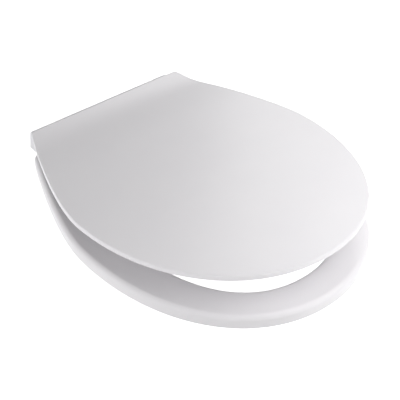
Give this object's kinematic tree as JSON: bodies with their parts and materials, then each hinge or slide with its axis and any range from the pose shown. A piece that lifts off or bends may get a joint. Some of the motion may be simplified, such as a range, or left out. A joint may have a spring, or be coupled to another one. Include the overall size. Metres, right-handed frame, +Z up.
{
  "type": "toilet seat",
  "caption": "White moulded toilet seat: oval ring and crowned lid hinged on a slotted rail, with rubber buffers and bolts that clamp the rail to the bowl.",
  "frame": {"origin": "midway between the two fixing bolts, on the plane of the bowl that the rail pads and ring buffers stand on", "axes": "+X to the right seen from the front, +Y to the rear, +Z up; the front of the seat is toward -Y"},
  "size_m": [0.379, 0.4928, 0.1558],
  "materials": {
    "seat_plastic": "gloss moulded white",
    "rail_plastic": "satin moulded white",
    "steel": "drawn stainless",
    "rubber_pad": "moulded black rubber",
    "buffer_rubber": "moulded pale grey rubber",
    "nylon": "natural nylon"
  },
  "bodies": {
    "base": {"hinge_rail": "rail_plastic", "hinge_pin_left": "steel", "hinge_pin_right": "steel", "pin_cap_left": "rail_plastic", "pin_cap_right": "rail_plastic", "fixing_bolt_left": "nylon", "fixing_bolt_right": "nylon", "rail_pad_left": "rubber_pad", "rail_pad_right": "rubber_pad", "cone_washer_left": "rubber_pad", "cone_washer_right": "rubber_pad", "flat_washer_left": "nylon", "flat_washer_right": "nylon", "wing_nut_left": "nylon", "wing_nut_right": "nylon"},
    "ring": {"seat_ring": "seat_plastic", "ring_buffer_front_left": "buffer_rubber", "ring_buffer_front_right": "buffer_rubber", "ring_buffer_rear_left": "buffer_rubber", "ring_buffer_rear_right": "buffer_rubber"},
    "lid": {"lid": "seat_plastic", "lid_buffer_front_left": "buffer_rubber", "lid_buffer_front_right": "buffer_rubber", "lid_buffer_rear_left": "buffer_rubber", "lid_buffer_rear_right": "buffer_rubber"}
  },
  "joints": [
    {"name": "ring_hinge", "type": "hinge", "parent": "base", "child": "ring", "pos_m": [0, 0.0145, 0.0285], "axis": [-1, 0, 0], "range_deg": [0, 95]},
    {"name": "lid_hinge", "type": "hinge", "parent": "ring", "child": "lid", "pos_m": [0, 0.0145, 0.0285], "axis": [-1, 0, 0], "range_deg": [-6.4, 90]}
  ]
}
